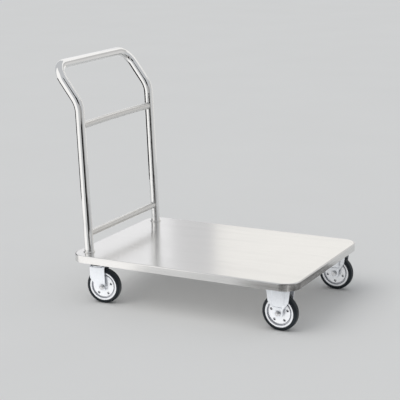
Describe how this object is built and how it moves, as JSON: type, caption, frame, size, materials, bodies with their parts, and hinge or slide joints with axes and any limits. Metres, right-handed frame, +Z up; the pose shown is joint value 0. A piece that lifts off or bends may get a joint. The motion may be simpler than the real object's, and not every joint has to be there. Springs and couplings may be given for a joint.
{
  "type": "platform trolley",
  "caption": "Flat-bed stainless platform trolley with a bent-tube push handle, cross rails, rigid casters in front and swivel casters under the handle.",
  "frame": {"origin": "on the floor under the centre of the whole trolley", "axes": "+X forward, away from the handle; +Y to the left; +Z up"},
  "size_m": [0.9822, 0.6, 0.8825],
  "materials": {
    "deck_steel": "lengthwise brushed stainless",
    "under_steel": "plain mill-finish stainless",
    "tube_steel": "mirror-polished stainless",
    "rail_steel": "satin stainless",
    "zinc_steel": "bright zinc plate",
    "rim_steel": "bright zinc plate, pressed",
    "fastener_steel": "zinc-plated fasteners",
    "ball_steel": "polished bearing steel",
    "plug_metal": "turned",
    "tyre_rubber": "black solid rubber",
    "skirt_rubber": "black moulded rubber",
    "bush_plastic": "natural nylon"
  },
  "bodies": {
    "trolley": {"deck_pan": "deck_steel", "deck_stiffener_left": "under_steel", "deck_stiffener_right": "under_steel", "front_saddles": "under_steel", "rear_saddles": "under_steel", "handle_tube": "tube_steel", "upper_rail": "rail_steel", "lower_rail": "rail_steel", "foot_collars": "rail_steel", "leg_plugs": "plug_metal", "foot_plates": "under_steel", "foot_washers": "fastener_steel", "foot_bolts": "fastener_steel", "mount_bolts": "fastener_steel", "mount_washers": "fastener_steel", "mount_nuts": "fastener_steel", "front_left_bracket": "zinc_steel", "front_right_bracket": "zinc_steel", "rear_left_top_plate": "zinc_steel", "rear_right_top_plate": "zinc_steel", "kingpins": "fastener_steel", "kingpin_nuts": "fastener_steel", "dust_rings": "skirt_rubber", "race_balls": "ball_steel", "front_axle_bolt": "fastener_steel", "front_axle_nut": "fastener_steel", "front_axle_sleeve": "fastener_steel"},
    "rear_left_swivel": {"rear_left_axle_bolt": "fastener_steel", "rear_left_axle_nut": "fastener_steel", "rear_left_axle_sleeve": "fastener_steel", "rear_left_fork": "zinc_steel"},
    "rear_right_swivel": {"rear_right_axle_bolt": "fastener_steel", "rear_right_axle_nut": "fastener_steel", "rear_right_axle_sleeve": "fastener_steel", "rear_right_fork": "zinc_steel"},
    "front_left_wheel": {"front_left_rim_outer": "rim_steel", "front_left_rim_inner": "rim_steel", "front_left_tyre": "tyre_rubber", "front_left_hub": "rim_steel", "front_left_bush": "bush_plastic", "front_left_rivets": "fastener_steel"},
    "front_right_wheel": {"front_right_rim_outer": "rim_steel", "front_right_rim_inner": "rim_steel", "front_right_tyre": "tyre_rubber", "front_right_hub": "rim_steel", "front_right_bush": "bush_plastic", "front_right_rivets": "fastener_steel"},
    "rear_left_wheel": {"rear_left_rim_outer": "rim_steel", "rear_left_rim_inner": "rim_steel", "rear_left_tyre": "tyre_rubber", "rear_left_hub": "rim_steel", "rear_left_bush": "bush_plastic", "rear_left_rivets": "fastener_steel"},
    "rear_right_wheel": {"rear_right_rim_outer": "rim_steel", "rear_right_rim_inner": "rim_steel", "rear_right_tyre": "tyre_rubber", "rear_right_hub": "rim_steel", "rear_right_bush": "bush_plastic", "rear_right_rivets": "fastener_steel"}
  },
  "joints": [
    {"name": "rear_left_turn", "type": "hinge", "parent": "trolley", "child": "rear_left_swivel", "pos_m": [-0.31085, 0.255, 0.15], "axis": [0, 0, 1], "continuous": true},
    {"name": "rear_right_turn", "type": "hinge", "parent": "trolley", "child": "rear_right_swivel", "pos_m": [-0.31085, -0.255, 0.15], "axis": [0, 0, 1], "continuous": true},
    {"name": "front_left_roll", "type": "hinge", "parent": "trolley", "child": "front_left_wheel", "pos_m": [0.41915, 0.25, 0.065], "axis": [0, 1, 0], "continuous": true},
    {"name": "front_right_roll", "type": "hinge", "parent": "trolley", "child": "front_right_wheel", "pos_m": [0.41915, -0.25, 0.065], "axis": [0, 1, 0], "continuous": true},
    {"name": "rear_left_roll", "type": "hinge", "parent": "rear_left_swivel", "child": "rear_left_wheel", "pos_m": [-0.29101, 0.25754, 0.065], "axis": [-0.1271, 0.9919, 0], "continuous": true},
    {"name": "rear_right_roll", "type": "hinge", "parent": "rear_right_swivel", "child": "rear_right_wheel", "pos_m": [-0.29101, -0.25246, 0.065], "axis": [-0.1271, 0.9919, 0], "continuous": true}
  ]
}
